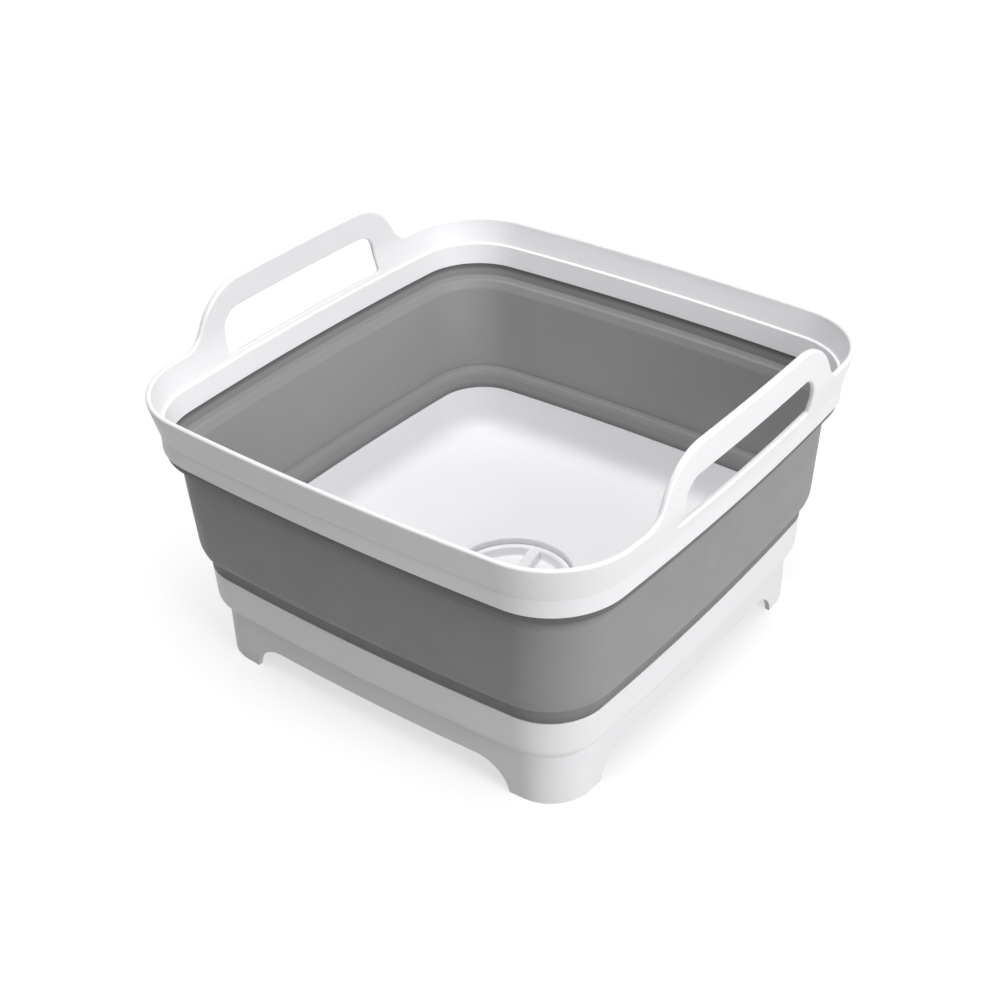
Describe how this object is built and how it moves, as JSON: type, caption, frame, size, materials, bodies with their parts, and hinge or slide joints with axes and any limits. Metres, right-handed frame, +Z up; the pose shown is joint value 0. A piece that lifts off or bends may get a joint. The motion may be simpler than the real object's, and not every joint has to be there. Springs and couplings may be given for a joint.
{
  "type": "collapsible washing up bowl",
  "caption": "Square collapsible washing up bowl with a flexible folding wall, upright handles, arched feet and a lift-out drain plug.",
  "frame": {"origin": "on the ground below the middle of the bowl", "axes": "+Z up, +X and -X towards the two handles"},
  "size_m": [0.3146, 0.314, 0.2054],
  "materials": {
    "white_plastic": "satin moulded polypropylene",
    "plug_plastic": "satin moulded polypropylene",
    "grey_rubber": "matt thermoplastic rubber",
    "seal_rubber": "matt thermoplastic rubber"
  },
  "bodies": {
    "base": {"base_tray": "white_plastic", "foot_front_left": "white_plastic", "foot_front_right": "white_plastic", "foot_back_left": "white_plastic", "foot_back_right": "white_plastic", "drain_seat": "white_plastic", "wall_lower_fold": "grey_rubber"},
    "panel": {"wall_panel": "grey_rubber"},
    "rim": {"rim_frame": "white_plastic", "wall_upper_fold": "grey_rubber"},
    "plug": {"drain_plug": "plug_plastic", "plug_seal": "seal_rubber"}
  },
  "joints": [
    {"name": "collapse", "type": "slide", "parent": "base", "child": "rim", "axis": [0, 0, -1], "range_m": [0, 0.123]},
    {"name": "panel_fold", "type": "slide", "parent": "base", "child": "panel", "axis": [0, 0, -1], "range_m": [0, 0.0615]},
    {"name": "plug_lift", "type": "slide", "parent": "base", "child": "plug", "axis": [0, 0, 1], "range_m": [0, 0.05]}
  ],
  "couplings": [
    {"joint": "panel_fold", "follows": "collapse", "ratio": 0.5}
  ]
}
